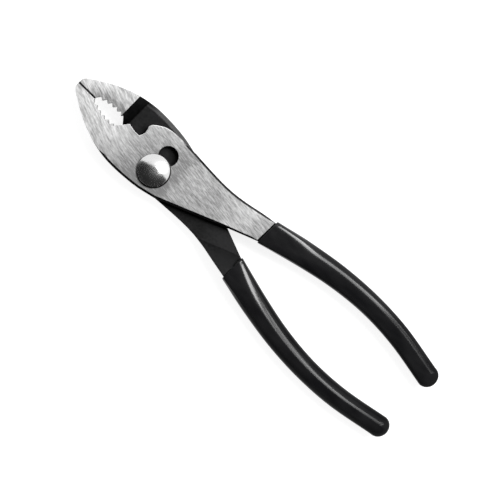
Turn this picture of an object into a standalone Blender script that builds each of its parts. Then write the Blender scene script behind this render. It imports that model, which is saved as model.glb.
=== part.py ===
"""Slip joint combination pliers, 8 inch size.

Two levers from one forging, a domed pivot bolt with its nut, and two dipped
grips. X runs along the tool from the nose to the handle ends, Y across it
towards the second hole of the slot, and Z up through the front face. The
pivot axis is X = Y = 0, and Z = 0 is the end of the bolt at the back. The
second lever is the first one turned over about the line Y = MID_Y.
Sizes are in millimetres, and become metres where a mesh is made.
"""

import math

import bmesh
import bpy
from mathutils import Matrix, Vector

MM = 0.001

# Clearances
SEAT_GAP = 0.3
LAP_GAP = 0.3
GRIP_FIT = 0.3
PIVOT_FIT = 0.1
JAW_GAP = 0.4
SWING_CLEARANCE = 1.0
LIP_BLOCK_RUN = 6.0

# Heights
HEAD_THICKNESS = 10.0
NOSE_THINNING = 0.9
NUT_HEIGHT = 3.2
BOLT_PROUD = 0.3
BACK_Z = BOLT_PROUD + NUT_HEIGHT + SEAT_GAP
FRONT_Z = BACK_Z + HEAD_THICKNESS
LAP_Z = (BACK_Z + FRONT_Z) / 2

# The line between the closed jaws
MID_Y = 4.7

# Nose and gripping flats
NOSE_X = -50.3
NOSE_LOW_Y = 3.2
FLAT_END_X = -40.6
SERRATION_PITCH = 1.0
SERRATION_DEPTH = 0.35

# Pipe grip, a toothed arc whose deepest point is at PIPE_X
PIPE_X = -30.6
PIPE_DEPTH = 3.75
PIPE_RADIUS = 22.0
TOOTH_PITCH = 2.65
TOOTH_DEPTH = 1.15
TOOTH_COUNT = 5
FIRST_VALLEY_X = -39.05
VALLEY_FLAT = 0.5

# Shear cutter and the shoulder behind it
CUTTER_X = -23.85
CUTTER_SLOPE = 1.23
CUTTER_START_X = -26.5
LIP_X = -21.95
LIP_ROUNDING = ((0.45, 0.12), (0.95, -0.1))
SHOULDER_FOOT_X = -22.4
SHOULDER_RUN = 4.5
SHOULDER_SLOPE = SHOULDER_RUN / (HEAD_THICKNESS / 2)

# Pivot and slot
HOLE_DIAMETER = 9.1
SLIP = 8.9
NECK_WIDTH = 6.3
FLAT_FIT = 0.12
THREAD_DIAMETER = 6.0
THREAD_CHAMFER = 0.5
BOLT_HEAD_DIAMETER = 15.0
BOLT_HEAD_HEIGHT = 3.0
BOLT_RIM_HEIGHT = 0.75
BOLT_RIM_WIDTH = 0.35
BOLT_RIM_CHAMFER = 0.2
DOME_STEPS = 10
DOME_POWER = 2.6
NUT_ACROSS_FLATS = 10.0
NUT_FACE_RADIUS = 4.8
NUT_CONE_RADIUS = 6.6
NUT_CONE_HEIGHT = 0.9
ROUND_SEGMENTS = 48

# Handle behind the head, where the slipped levers must still pass each other
STEEL_END_X = 53.7
RAMP_RUN = 7.0
RAMP_CLEARANCE = 0.6
RAMP_LEAD = 12.0
RAMP_TAIL = 30.0

# Rounded forging edges, measured in from the outline
EDGE_CRISP = 0.12
EDGE_LAP = 0.3
EDGE_FORGED = 1.05
EDGE_INSIDE = 0.8
EDGE_HANDLE = 0.5
EDGE_TANG = 2.3
EDGE_STEPS = 3

# Where the unground edge grows behind the jaw, and where it narrows on the handle
EDGE_GROWS = (-25.0, -20.0)
EDGE_NARROWS = (34.0, 48.0)

# Distance between outline points
JAW_SPACING = 1.5
HANDLE_SPACING = 3.2
CREST_SPACING = 1.0
NOTCH_SPACING = 0.7

# Guides that cut run past the faces they cut
OVERRUN = 1.0
BEYOND_Y = 30.0

# Grips
GRIP_START_X = 54.0
GRIP_CAP_X = 147.3
GRIP_WALL = 1.0
MOUTH_HALF_THICKNESS = 5.7
GRIP_HALF_THICKNESS = 5.1
GRIP_TAPER_X = 78.0
MOUTH_LIP = 0.45
MOUTH_LIP_CORNER = 0.135
GRIP_BODY_X = 57.0
GRIP_BODY_STEPS = 18
GRIP_CAP_STEPS = 5
TANG_HALF_THICKNESS = 3.8
TANG_START_X = 53.1
TANG_ROUND_X = 63.1
TANG_END_WALL = 1.6
TANG_STEPS = 18
TANG_CAP_STEPS = 8
SECTION_POINTS = 28
SECTION_SQUARENESS = 2.5

# Handle centre line and half width at stations along X
HANDLE_STATIONS = (
    (54.0, 15.68, 6.28),
    (72.0, 20.03, 5.73),
    (90.0, 23.28, 5.18),
    (108.0, 24.60, 4.80),
    (126.0, 23.63, 4.73),
    (147.3, 19.85, 4.70),
)

# Knots of the lever's free edges, in order from nose to handle
JAW_BACK = (
    (-50.1, 2.35), (-49.3, 1.4), (-47.0, -0.25), (-43.0, -2.7), (-38.0, -5.45), (-32.0, -8.0),
    (-26.0, -9.85), (-20.0, -10.95), (-14.0, -11.25), (-7.0, -10.95), (0.0, -10.15),
    (8.0, -8.35),
)
HANDLE_INSIDE = ((8.0, -8.35), (24.0, -1.9), (40.0, 4.65), (STEEL_END_X, 9.95))
HANDLE_OUTSIDE = (
    (STEEL_END_X, 20.95), (46.0, 19.45), (38.0, 17.85), (31.0, 16.95), (24.0, 16.8),
    (16.0, 17.15), (8.0, 17.65), (0.0, 18.15),
)
LAP_CREST = ((0.0, 18.15), (-5.0, 18.05), (-9.0, 17.25), (-12.0, 15.7), (-14.4, 13.9))
NOTCH_WALL = (
    (-14.4, 13.9), (-15.1, 12.4), (-14.6, 10.7), (-14.4, 9.0), (-14.9, 7.6), (-15.4, 6.45),
)
NOTCH_FLOOR = ((-15.4, 6.45), (-18.0, 6.4), (-20.2, 6.75))

BLACK_OXIDE = (0.012, 0.012, 0.013)
GROUND_STEEL = (0.50, 0.50, 0.49)
BOLT_STEEL = (0.42, 0.42, 0.42)
BLACK_VINYL = (0.008, 0.008, 0.009)


def clear_scene():
    for item in list(bpy.data.objects):
        bpy.data.objects.remove(item, do_unlink=True)


def make_material(name, colour, roughness, metallic):
    material = bpy.data.materials.new(name)
    material.use_nodes = True
    shader = material.node_tree.nodes["Principled BSDF"]
    shader.inputs["Base Color"].default_value = (*colour, 1.0)
    shader.inputs["Roughness"].default_value = roughness
    shader.inputs["Metallic"].default_value = metallic
    return material


def make_object(name, bm, materials):
    """Turn a bmesh drawn in millimetres into an object in metres."""
    bmesh.ops.scale(bm, vec=(MM, MM, MM), verts=bm.verts)
    bmesh.ops.recalc_face_normals(bm, faces=bm.faces)
    mesh = bpy.data.meshes.new(name)
    bm.to_mesh(mesh)
    bm.free()
    item = bpy.data.objects.new(name, mesh)
    bpy.context.collection.objects.link(item)
    for material in materials:
        mesh.materials.append(material)
    return item


def smooth_shading(item, angle=35):
    item.data.shade_smooth()
    item.data.set_sharp_from_angle(angle=math.radians(angle))


def cut(target, cutter, operation="DIFFERENCE"):
    """Cut a target with a live Boolean, and keep the cutter as a hidden guide."""
    cutter.hide_render = True
    cutter.display_type = "WIRE"
    modifier = target.modifiers.new(cutter.name, "BOOLEAN")
    modifier.operation = operation
    modifier.object = cutter


def smooth_value(stations, x, column):
    """Catmull-Rom value of one column of a station table at x."""
    last = len(stations) - 1
    i = 0
    while i < last - 1 and x > stations[i + 1][0]:
        i += 1
    start, end = stations[i], stations[i + 1]
    before, after = stations[max(i - 1, 0)], stations[min(i + 2, last)]
    span = end[0] - start[0]
    t = (x - start[0]) / span
    leave = (end[column] - before[column]) / (end[0] - before[0]) * span
    arrive = (after[column] - start[column]) / (after[0] - start[0]) * span
    h00 = 2 * t**3 - 3 * t**2 + 1
    h10 = t**3 - 2 * t**2 + t
    return h00 * start[column] + h10 * leave + (1 - h00) * end[column] + (t**3 - t**2) * arrive


def curve(knots, spacing):
    """Points on a smooth curve through the knots, without the last knot."""
    points = []
    last = len(knots) - 1
    for i in range(last):
        start, end = Vector(knots[i]), Vector(knots[i + 1])
        before, after = Vector(knots[max(i - 1, 0)]), Vector(knots[min(i + 2, last)])
        steps = max(1, round((end - start).length / spacing))
        leave, arrive = (end - before) / 2, (after - start) / 2
        if i == 0:
            leave = end - start
        if i == last - 1:
            arrive = end - start
        for step in range(steps):
            t = step / steps
            h00 = 2 * t**3 - 3 * t**2 + 1
            h10 = t**3 - 2 * t**2 + t
            points.append(h00 * start + h10 * leave + (1 - h00) * end + (t**3 - t**2) * arrive)
    return points


def between(x, start_x, end_x, start, end):
    """Value that eases from start to end between two places along the tool."""
    t = min(max((x - start_x) / (end_x - start_x), 0.0), 1.0)
    return start + (end - start) * t * t * (3 - 2 * t)


def edged(points, edge):
    """Pair each outline point with the width of its rounded edge."""
    if callable(edge):
        return [(Vector(p), edge(p[0])) for p in points]
    return [(Vector(p), edge) for p in points]


def lip_y(x):
    """Front lever's cutter slope, which meets the other lever's at CUTTER_X."""
    return MID_Y + CUTTER_SLOPE * (x - CUTTER_X)


def valley_y(x):
    """Root line of the pipe grip's teeth, a shallow arc."""
    return MID_Y - PIPE_DEPTH + (x - PIPE_X) ** 2 / (2 * PIPE_RADIUS)


def gripping_edge():
    """Serrated flat, then the toothed arc, from the nose back to the cutter."""
    flat_y = MID_Y - JAW_GAP / 2
    points = [(NOSE_X, flat_y)]
    count = int((FLAT_END_X - NOSE_X) / SERRATION_PITCH)
    pitch = (FLAT_END_X - NOSE_X) / count
    for i in range(count):
        x = NOSE_X + pitch * i
        points.append((x + pitch * 0.5, flat_y - SERRATION_DEPTH))
        points.append((x + pitch, flat_y))
    for i in range(TOOTH_COUNT):
        x = FIRST_VALLEY_X + TOOTH_PITCH * i
        tip = x + TOOTH_PITCH / 2
        points.append((x - VALLEY_FLAT / 2, valley_y(x)))
        points.append((x + VALLEY_FLAT / 2, valley_y(x)))
        points.append((tip, valley_y(tip) + TOOTH_DEPTH))
    points.append((CUTTER_START_X, lip_y(CUTTER_START_X)))
    return points


def cutter_edge():
    """Slope of the shear cutter, rounded over at its lip."""
    lip = lip_y(LIP_X)
    return [(CUTTER_X, MID_Y), (LIP_X, lip)] + [(LIP_X + x, lip + y) for x, y in LIP_ROUNDING]


def forged_edge(x):
    """The unground edge widens behind the jaw and narrows along the handle."""
    if x < EDGE_NARROWS[0]:
        return between(x, *EDGE_GROWS, EDGE_CRISP, EDGE_FORGED)
    return between(x, *EDGE_NARROWS, EDGE_FORGED, EDGE_INSIDE)


def head_outline():
    """Outline of the forging, nose to grip, seen from the front."""
    # The outline runs against the clock: outer jaw edge, handle, lap, notch, cutter, teeth.
    outline = edged([(NOSE_X, NOSE_LOW_Y)], EDGE_CRISP)
    outline += edged(curve(JAW_BACK, JAW_SPACING), forged_edge)
    outline += edged(curve(HANDLE_INSIDE, HANDLE_SPACING), forged_edge)
    outline += edged([HANDLE_INSIDE[-1]], EDGE_INSIDE)
    outline += edged(curve(HANDLE_OUTSIDE, HANDLE_SPACING), EDGE_HANDLE)
    outline += edged(curve(LAP_CREST, CREST_SPACING), EDGE_LAP)
    outline += edged(curve(NOTCH_WALL, NOTCH_SPACING), EDGE_LAP)
    outline += edged(curve(NOTCH_FLOOR, NOTCH_SPACING) + [NOTCH_FLOOR[-1]], EDGE_CRISP)
    outline += edged(reversed(cutter_edge()), EDGE_CRISP)
    outline += edged(reversed(gripping_edge()), EDGE_CRISP)
    return outline


def tang_edge(x):
    """The tang's edges round out as it runs into the grip."""
    return between(x, TANG_START_X, TANG_ROUND_X, EDGE_HANDLE, EDGE_TANG)


def tang_outline(start_x, grow):
    """Outline of the tang inside its grip, grown all round for the cavity."""
    inset = GRIP_WALL + GRIP_FIT - grow
    end_x = GRIP_CAP_X - TANG_END_WALL
    stations = [start_x + (end_x - start_x) * i / TANG_STEPS for i in range(TANG_STEPS + 1)]
    lower, upper = [], []
    for x in stations:
        centre = smooth_value(HANDLE_STATIONS, x, 1)
        half = smooth_value(HANDLE_STATIONS, x, 2) - inset
        lower.append((Vector((x, centre - half)), tang_edge(x)))
        upper.append((Vector((x, centre + half)), tang_edge(x)))
    centre = Vector((end_x, smooth_value(HANDLE_STATIONS, end_x, 1)))
    half = smooth_value(HANDLE_STATIONS, end_x, 2) - inset
    cap = []
    for i in range(1, TANG_CAP_STEPS):
        angle = -math.pi / 2 + math.pi * i / TANG_CAP_STEPS
        point = centre + half * Vector((math.cos(angle), math.sin(angle)))
        cap.append((point, EDGE_TANG))
    return lower + cap + upper[::-1]


def slab(outline, low, high):
    """Closed slab whose top and bottom edges are rounded by each point's width."""
    count = len(outline)
    inward = []
    for i in range(count):
        along = (outline[(i + 1) % count][0] - outline[i - 1][0]).normalized()
        inward.append(Vector((-along.y, along.x)))
    turns = [i * math.pi / 2 / EDGE_STEPS for i in range(EDGE_STEPS + 1)]
    levels = [(1 - math.sin(a), 1 - math.cos(a), low, 1) for a in turns]
    levels += [(1 - math.sin(a), 1 - math.cos(a), high, -1) for a in reversed(turns)]
    bm = bmesh.new()
    rings = []
    for inset, rise, base, sign in levels:
        ring = []
        for (point, edge), normal in zip(outline, inward):
            flat = point + normal * edge * inset
            ring.append(bm.verts.new((flat.x, flat.y, base + sign * edge * rise)))
        rings.append(ring)
    for below, above in zip(rings, rings[1:]):
        for i in range(count):
            j = (i + 1) % count
            bm.faces.new((below[i], below[j], above[j], above[i]))
    bottom = bm.faces.new(reversed(rings[0]))
    top = bm.faces.new(rings[-1])
    bottom.material_index = 1
    top.material_index = 1
    return bm


def prism(points, low, high):
    """Plain prism over a list of plan points."""
    bm = bmesh.new()
    base = bm.faces.new([bm.verts.new((x, y, low)) for x, y in points])
    grown = bmesh.ops.extrude_face_region(bm, geom=[base])
    lifted = [v for v in grown["geom"] if isinstance(v, bmesh.types.BMVert)]
    bmesh.ops.translate(bm, vec=(0, 0, high - low), verts=lifted)
    return bm


def block(corners):
    """Convex block through its corner points."""
    bm = bmesh.new()
    verts = [bm.verts.new(corner) for corner in corners]
    bmesh.ops.convex_hull(bm, input=verts)
    return bm


def lap_block():
    """Space of the other lever's lap: shoulder at the jaw, ramp at the handle."""
    inside, end = Vector(HANDLE_INSIDE[1]), Vector(HANDLE_INSIDE[-1])
    # The other lever's inner handle edge, slipped along the slot.
    near = Vector((inside.x, 2 * MID_Y - inside.y + SLIP))
    far = Vector((end.x, 2 * MID_Y - end.y + SLIP))
    along = (far - near).normalized()
    away = Vector((-along.y, along.x))
    corners = []
    for z in (LAP_Z + LAP_GAP / 2, BACK_Z - OVERRUN):
        depth = LAP_Z + LAP_GAP / 2 - z
        shoulder_x = SHOULDER_FOOT_X - depth * SHOULDER_SLOPE
        shift = away * (RAMP_CLEARANCE + depth * RAMP_RUN / (HEAD_THICKNESS / 2))
        start, stop = near - along * RAMP_LEAD + shift, far + along * RAMP_TAIL + shift
        corners += [(shoulder_x, -BEYOND_Y, z), (shoulder_x, start.y, z)]
        corners += [(start.x, start.y, z), (stop.x, stop.y, z), (stop.x, -BEYOND_Y, z)]
    return block(corners)


def lip_block():
    """Space under the cutter lip for the other lever's shoulder as it swings."""
    corners = []
    for z in (LAP_Z - OVERRUN / 2, FRONT_Z + OVERRUN / 2):
        right = SHOULDER_FOOT_X + SWING_CLEARANCE - (z - LAP_Z) * SHOULDER_SLOPE
        for x in (CUTTER_X - LIP_BLOCK_RUN, right):
            edge = 2 * MID_Y - lip_y(x) - SWING_CLEARANCE / 2
            corners += [(x, edge, z), (x, BEYOND_Y, z)]
    return block(corners)


def nose_block():
    """Wedge that thins the jaw towards the nose, on the front face."""
    start_x = SHOULDER_FOOT_X - SHOULDER_RUN
    end_x = NOSE_X - OVERRUN
    drop = NOSE_THINNING * (start_x - end_x) / (start_x - NOSE_X)
    corners = []
    for y in (-BEYOND_Y, BEYOND_Y):
        corners += [(start_x, y, FRONT_Z), (end_x, y, FRONT_Z - drop)]
        corners += [(end_x, y, FRONT_Z + OVERRUN), (start_x, y, FRONT_Z + OVERRUN)]
    return block(corners)


def turned_over(bm):
    """Turn a shape over about the line between the closed jaws."""
    turn = Matrix.Rotation(math.pi, 4, "X")
    middle = Matrix.Translation((0, MID_Y, LAP_Z))
    bmesh.ops.transform(bm, matrix=middle @ turn @ middle.inverted(), verts=bm.verts)
    return bm


def placed(bm, is_rear):
    """A shape as drawn for the front half, turned over for the rear half."""
    return turned_over(bm) if is_rear else bm


def upside_down(bm):
    """Mirror a shape in the lap plane."""
    bmesh.ops.transform(bm, matrix=Matrix.Scale(-1, 4, (0, 0, 1)), verts=bm.verts)
    bmesh.ops.translate(bm, vec=(0, 0, 2 * LAP_Z), verts=bm.verts)
    return bm


def slot_outline():
    """Two holes joined by a neck, drawn as two arcs."""
    radius = HOLE_DIAMETER / 2
    open_angle = math.asin(NECK_WIDTH / 2 / radius)
    points = []
    for centre_y, turn in ((0.0, -math.pi / 2), (SLIP, math.pi / 2)):
        sweep = math.pi - open_angle
        for i in range(ROUND_SEGMENTS // 2 + 1):
            angle = turn - sweep + 2 * sweep * i / (ROUND_SEGMENTS // 2)
            points.append((radius * math.cos(angle), centre_y + radius * math.sin(angle)))
    return points


def circle_outline(radius, segments):
    angles = [2 * math.pi * i / segments for i in range(segments)]
    return [(radius * math.cos(a), radius * math.sin(a)) for a in angles]


def forge_lever(name, is_rear, hole, black, ground):
    """One forging with its tang, laps and ground faces, drilled by the hole's outline."""
    lever = make_object(name, placed(slab(head_outline(), BACK_Z, FRONT_Z), is_rear), [black, ground])
    shapes = (
        ("lap", lap_block(), [black, ground]),
        ("lip", lip_block(), [black, ground]),
        ("front_thinning", nose_block(), [ground, black]),
        ("back_thinning", upside_down(nose_block()), [ground, black]),
    )
    for label, shape, materials in shapes:
        cut(lever, make_object(f"{name}_{label}", placed(shape, is_rear), materials))
    drill = prism(hole, BACK_Z - OVERRUN, FRONT_Z + OVERRUN)
    cut(lever, make_object(f"{name}_hole", drill, [black, ground]))
    low, high = LAP_Z - TANG_HALF_THICKNESS, LAP_Z + TANG_HALF_THICKNESS
    tang = placed(slab(tang_outline(TANG_START_X, 0), low, high), is_rear)
    cut(lever, make_object(f"{name}_tang", tang, [black, ground]), "UNION")
    smooth_shading(lever)


def revolve(profile, segments):
    """Turn a profile of radius and height pairs about the pivot axis."""
    bm = bmesh.new()
    verts = [bm.verts.new((radius, 0, z)) for radius, z in profile]
    edges = [bm.edges.new(pair) for pair in zip(verts, verts[1:])]
    bmesh.ops.spin(bm, geom=verts + edges, cent=(0, 0, 0), axis=(0, 0, 1),
                   angle=2 * math.pi, steps=segments, use_merge=True)
    bmesh.ops.remove_doubles(bm, verts=bm.verts, dist=1e-4)
    return bm


def bolt_profile():
    """Half section of the bolt, from the centre of its end to the top of its dome."""
    thread = THREAD_DIAMETER / 2
    shank = HOLE_DIAMETER / 2 - PIVOT_FIT
    under_head = FRONT_Z + SEAT_GAP
    rim = BOLT_HEAD_DIAMETER / 2
    rim_top = under_head + BOLT_RIM_HEIGHT
    profile = [(0, 0), (thread - THREAD_CHAMFER, 0), (thread, THREAD_CHAMFER), (thread, BACK_Z)]
    profile += [(shank, BACK_Z), (shank, under_head), (rim - BOLT_RIM_CHAMFER, under_head)]
    profile += [(rim, under_head + BOLT_RIM_CHAMFER), (rim, rim_top - BOLT_RIM_CHAMFER)]
    for i in range(DOME_STEPS + 1):
        part = math.cos(math.pi / 2 * i / DOME_STEPS)
        height = (BOLT_HEAD_HEIGHT - BOLT_RIM_HEIGHT) * (1 - part**DOME_POWER)
        profile.append(((rim - BOLT_RIM_WIDTH) * part, rim_top + height))
    return profile


def make_bolt(material):
    """Pivot bolt, with two flats where it passes the neck of the slot."""
    bolt = make_object("pivot_bolt", revolve(bolt_profile(), ROUND_SEGMENTS), [material])
    flat = NECK_WIDTH / 2 - FLAT_FIT
    reach = BOLT_HEAD_DIAMETER / 2
    for side, name in ((-1, "bolt_flat_nose_side"), (1, "bolt_flat_handle_side")):
        points = [(side * flat, -reach), (side * reach, -reach), (side * reach, reach), (side * flat, reach)]
        cutter = prism(points, LAP_Z, FRONT_Z + SEAT_GAP / 2)
        cut(bolt, make_object(name, cutter, [material]))
    smooth_shading(bolt)


def make_nut(material):
    """Hexagon nut behind the rear lever, its corners turned down on both faces."""
    corner = NUT_ACROSS_FLATS / math.sqrt(3)
    low, high = BOLT_PROUD, BOLT_PROUD + NUT_HEIGHT
    bar = prism(circle_outline(corner, 6), low - OVERRUN, high + OVERRUN)
    nut = make_object("pivot_nut", bar, [material])
    profile = [(0, low), (NUT_FACE_RADIUS, low), (NUT_CONE_RADIUS, low + NUT_CONE_HEIGHT),
               (NUT_CONE_RADIUS, high - NUT_CONE_HEIGHT), (NUT_FACE_RADIUS, high), (0, high)]
    cut(nut, make_object("nut_turning", revolve(profile, ROUND_SEGMENTS), [material]), "INTERSECT")
    bore = circle_outline(THREAD_DIAMETER / 2 + PIVOT_FIT, ROUND_SEGMENTS // 2)
    drill = prism(bore, low - 2 * OVERRUN, high + 2 * OVERRUN)
    cut(nut, make_object("nut_bore", drill, [material]))
    smooth_shading(nut)


def grip_section(x, grow, squeeze):
    """Closed ring of the grip's section at x, squeezed towards its centre at the cap."""
    at_x = min(x, GRIP_CAP_X)
    centre = smooth_value(HANDLE_STATIONS, at_x, 1)
    half_width = (smooth_value(HANDLE_STATIONS, at_x, 2) + grow) * squeeze
    thickness = between(x, GRIP_START_X, GRIP_TAPER_X, MOUTH_HALF_THICKNESS, GRIP_HALF_THICKNESS)
    half_height = (thickness + grow) * squeeze
    power = 2 / SECTION_SQUARENESS
    ring = []
    for i in range(SECTION_POINTS):
        angle = 2 * math.pi * i / SECTION_POINTS
        across, up = math.cos(angle), math.sin(angle)
        y = centre + half_width * math.copysign(abs(across) ** power, across)
        z = LAP_Z + half_height * math.copysign(abs(up) ** power, up)
        ring.append((x, y, z))
    return ring


def grip_shape():
    """Solid of the grip's outside: a rounded mouth, the curved body and a round end."""
    rings = [grip_section(GRIP_START_X, -MOUTH_LIP, 1.0)]
    rings.append(grip_section(GRIP_START_X + MOUTH_LIP_CORNER, -MOUTH_LIP_CORNER, 1.0))
    rings.append(grip_section(GRIP_START_X + MOUTH_LIP, 0.0, 1.0))
    pitch = (GRIP_CAP_X - GRIP_BODY_X) / GRIP_BODY_STEPS
    for i in range(GRIP_BODY_STEPS + 1):
        rings.append(grip_section(GRIP_BODY_X + pitch * i, 0.0, 1.0))
    cap_radius = HANDLE_STATIONS[-1][2]
    for i in range(1, GRIP_CAP_STEPS):
        angle = math.pi / 2 * i / GRIP_CAP_STEPS
        rings.append(grip_section(GRIP_CAP_X + cap_radius * math.sin(angle), 0.0, math.cos(angle)))
    bm = bmesh.new()
    loops = [[bm.verts.new(point) for point in ring] for ring in rings]
    for before, after in zip(loops, loops[1:]):
        for i in range(SECTION_POINTS):
            j = (i + 1) % SECTION_POINTS
            bm.faces.new((before[i], before[j], after[j], after[i]))
    bm.faces.new(reversed(loops[0]))
    centre_y = smooth_value(HANDLE_STATIONS, GRIP_CAP_X, 1)
    pole = bm.verts.new((GRIP_CAP_X + cap_radius, centre_y, LAP_Z))
    for i in range(SECTION_POINTS):
        bm.faces.new((loops[-1][i], loops[-1][(i + 1) % SECTION_POINTS], pole))
    return bm


def make_grip(name, is_rear, material):
    """Dipped sleeve: the outer shape with the space of its tang taken out."""
    grip = make_object(name, placed(grip_shape(), is_rear), [material])
    room = TANG_HALF_THICKNESS + GRIP_FIT
    cavity = slab(tang_outline(TANG_START_X - 2 * OVERRUN, GRIP_FIT), LAP_Z - room, LAP_Z + room)
    cut(grip, make_object(f"{name}_cavity", placed(cavity, is_rear), [material]))
    smooth_shading(grip)


def main():
    clear_scene()
    black_oxide = make_material("black_oxide_steel", BLACK_OXIDE, 0.5, 0.6)
    ground = make_material("ground_steel", GROUND_STEEL, 0.32, 1.0)
    bolt_steel = make_material("polished_bolt_steel", BOLT_STEEL, 0.18, 1.0)
    nut_steel = make_material("black_nut_steel", BLACK_OXIDE, 0.45, 0.6)
    vinyl = make_material("black_vinyl", BLACK_VINYL, 0.22, 0.0)
    forge_lever("front_lever", False, slot_outline(), black_oxide, ground)
    pivot_hole = circle_outline(HOLE_DIAMETER / 2, ROUND_SEGMENTS)
    forge_lever("rear_lever", True, pivot_hole, black_oxide, ground)
    make_bolt(bolt_steel)
    make_nut(nut_steel)
    make_grip("front_grip", False, vinyl)
    make_grip("rear_grip", True, vinyl)


main()
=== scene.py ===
# %% [markdown]
# # Slip joint pliers
# The imported model is the frame that everything here hangs on. It holds six rigid nodes on three
# bodies: each half of the pliers, and the pivot. This lesson gives every node a finer visible
# twin. A twin rides on the same body as its node.

# %% Load the imported model
import math

import bmesh
import bpy
from mathutils import Matrix, Vector
from mathutils.bvhtree import BVHTree
from mathutils.geometry import intersect_point_line


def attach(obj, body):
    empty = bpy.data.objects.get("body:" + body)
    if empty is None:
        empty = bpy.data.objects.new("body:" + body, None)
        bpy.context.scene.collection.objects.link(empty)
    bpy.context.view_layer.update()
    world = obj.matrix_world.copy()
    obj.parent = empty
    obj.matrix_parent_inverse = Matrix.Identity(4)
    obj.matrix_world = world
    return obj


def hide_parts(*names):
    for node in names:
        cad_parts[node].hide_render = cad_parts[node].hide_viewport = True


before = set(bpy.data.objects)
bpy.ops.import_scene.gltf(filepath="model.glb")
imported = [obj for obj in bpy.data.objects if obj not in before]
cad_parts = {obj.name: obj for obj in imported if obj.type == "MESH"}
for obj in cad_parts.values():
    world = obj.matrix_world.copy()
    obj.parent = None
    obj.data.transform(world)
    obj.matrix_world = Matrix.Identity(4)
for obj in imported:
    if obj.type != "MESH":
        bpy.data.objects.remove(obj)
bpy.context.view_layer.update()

MM = 0.001

# %% [markdown]
# ## Camera
# The photograph looks straight down on the front face, with the tool turned on the page. An
# orthographic camera would do, but a long lens from far away keeps a trace of depth, and still
# shows the jaws and the lower grips at one scale. The turn, the centre and the width of the view
# were measured in the photograph.

# %% Camera
VIEW_TURN = math.radians(44.55)
VIEW_CENTRE = Vector((53.78, 4.81, 10.0)) * MM
VIEW_WIDTH = 217.5 * MM
LENS = 300.0
SENSOR = 36.0

camera_data = bpy.data.cameras.new("camera")
camera_data.lens = LENS
camera_data.sensor_width = SENSOR
camera = bpy.data.objects.new("camera", camera_data)
bpy.context.scene.collection.objects.link(camera)
camera.location = VIEW_CENTRE + Vector((0, 0, VIEW_WIDTH * LENS / SENSOR))
camera.rotation_euler = (0, 0, VIEW_TURN)
bpy.context.scene.camera = camera
print("camera height in m:", round(camera.location.z, 3))

# %% [markdown]
# ## Studio
# Polished steel shows its surroundings, so the studio is half of its look. A white tent round the
# tool is the real way, but it would stand between the lamps and the tool. Here the world is the
# tent. It is full white for the rays that show it, and weaker as soft light, because a Light Path
# node can tell these rays apart.

# %% World
SKY_LIGHT = 0.75


def seen_rays(nodes, links):
    """Socket that is 1 for the camera's rays, for reflections and for rays through glass."""
    path = nodes.new("ShaderNodeLightPath")
    seen = path.outputs["Is Camera Ray"]
    for ray in ("Is Glossy Ray", "Is Transmission Ray"):
        either = nodes.new("ShaderNodeMath")
        either.operation = "MAXIMUM"
        links.new(seen, either.inputs[0])
        links.new(path.outputs[ray], either.inputs[1])
        seen = either.outputs[0]
    return seen


scene = bpy.context.scene
scene.view_settings.view_transform = "Standard"
world = bpy.data.worlds.new("studio")
scene.world = world
world.use_nodes = True
nodes, links = world.node_tree.nodes, world.node_tree.links
nodes.clear()
strength = nodes.new("ShaderNodeMapRange")
strength.inputs["To Min"].default_value = SKY_LIGHT
strength.inputs["To Max"].default_value = 1.0
links.new(seen_rays(nodes, links), strength.inputs["Value"])
sky = nodes.new("ShaderNodeBackground")
links.new(strength.outputs["Result"], sky.inputs["Strength"])
sky_out = nodes.new("ShaderNodeOutputWorld")
links.new(sky.outputs[0], sky_out.inputs["Surface"])
print("world strength for soft light:", SKY_LIGHT)

# %% [markdown]
# ## Floor
# The tool lies on white paper and throws hardly any shadow. Plain paper would come out grey in
# this light, and brighter lamps would burn out the steel. So the paper also glows, but only for
# the rays that show it, which keeps the soft shadow and sends no light up to the tool.

# %% Floor
FLOOR_SIZE = 4.0
FLOOR_DROP = 0.05 * MM
FLOOR_GLOW = 0.78
PAPER_TONE = 0.4


def staged(name, bm, material):
    """Make an object that belongs to the studio, not to the part."""
    mesh = bpy.data.meshes.new(name)
    bm.to_mesh(mesh)
    bm.free()
    mesh.materials.append(material)
    item = bpy.data.objects.new(name, mesh)
    bpy.context.scene.collection.objects.link(item)
    return item


def paper_material():
    """White paper that keeps a soft shadow but looks white to the camera."""
    material = bpy.data.materials.new("white_paper")
    material.use_nodes = True
    nodes, links = material.node_tree.nodes, material.node_tree.links
    nodes.clear()
    paper = nodes.new("ShaderNodeBsdfDiffuse")
    paper.inputs["Color"].default_value = (PAPER_TONE, PAPER_TONE, PAPER_TONE, 1)
    glow_level = nodes.new("ShaderNodeMath")
    glow_level.operation = "MULTIPLY"
    glow_level.inputs[1].default_value = FLOOR_GLOW
    links.new(seen_rays(nodes, links), glow_level.inputs[0])
    glow = nodes.new("ShaderNodeEmission")
    links.new(glow_level.outputs[0], glow.inputs["Strength"])
    both = nodes.new("ShaderNodeAddShader")
    links.new(paper.outputs[0], both.inputs[0])
    links.new(glow.outputs[0], both.inputs[1])
    out = nodes.new("ShaderNodeOutputMaterial")
    links.new(both.outputs[0], out.inputs["Surface"])
    return material


bm = bmesh.new()
bmesh.ops.create_grid(bm, x_segments=1, y_segments=1, size=FLOOR_SIZE / 2)
bmesh.ops.translate(bm, vec=(0, 0, -FLOOR_DROP), verts=bm.verts)
staged("floor", bm, paper_material())
print("floor is", FLOOR_SIZE, "m wide and glows", FLOOR_GLOW)

# %% [markdown]
# ## Black card
# The dark half of the bolt's dome and the dark backs of the grips are the reflection of something
# black on the near side of the table. A real studio puts a black card there. This one is a grid
# that rises to the tool. The camera, the soft light and the shadows leave it out, so that only
# reflections see it.

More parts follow.
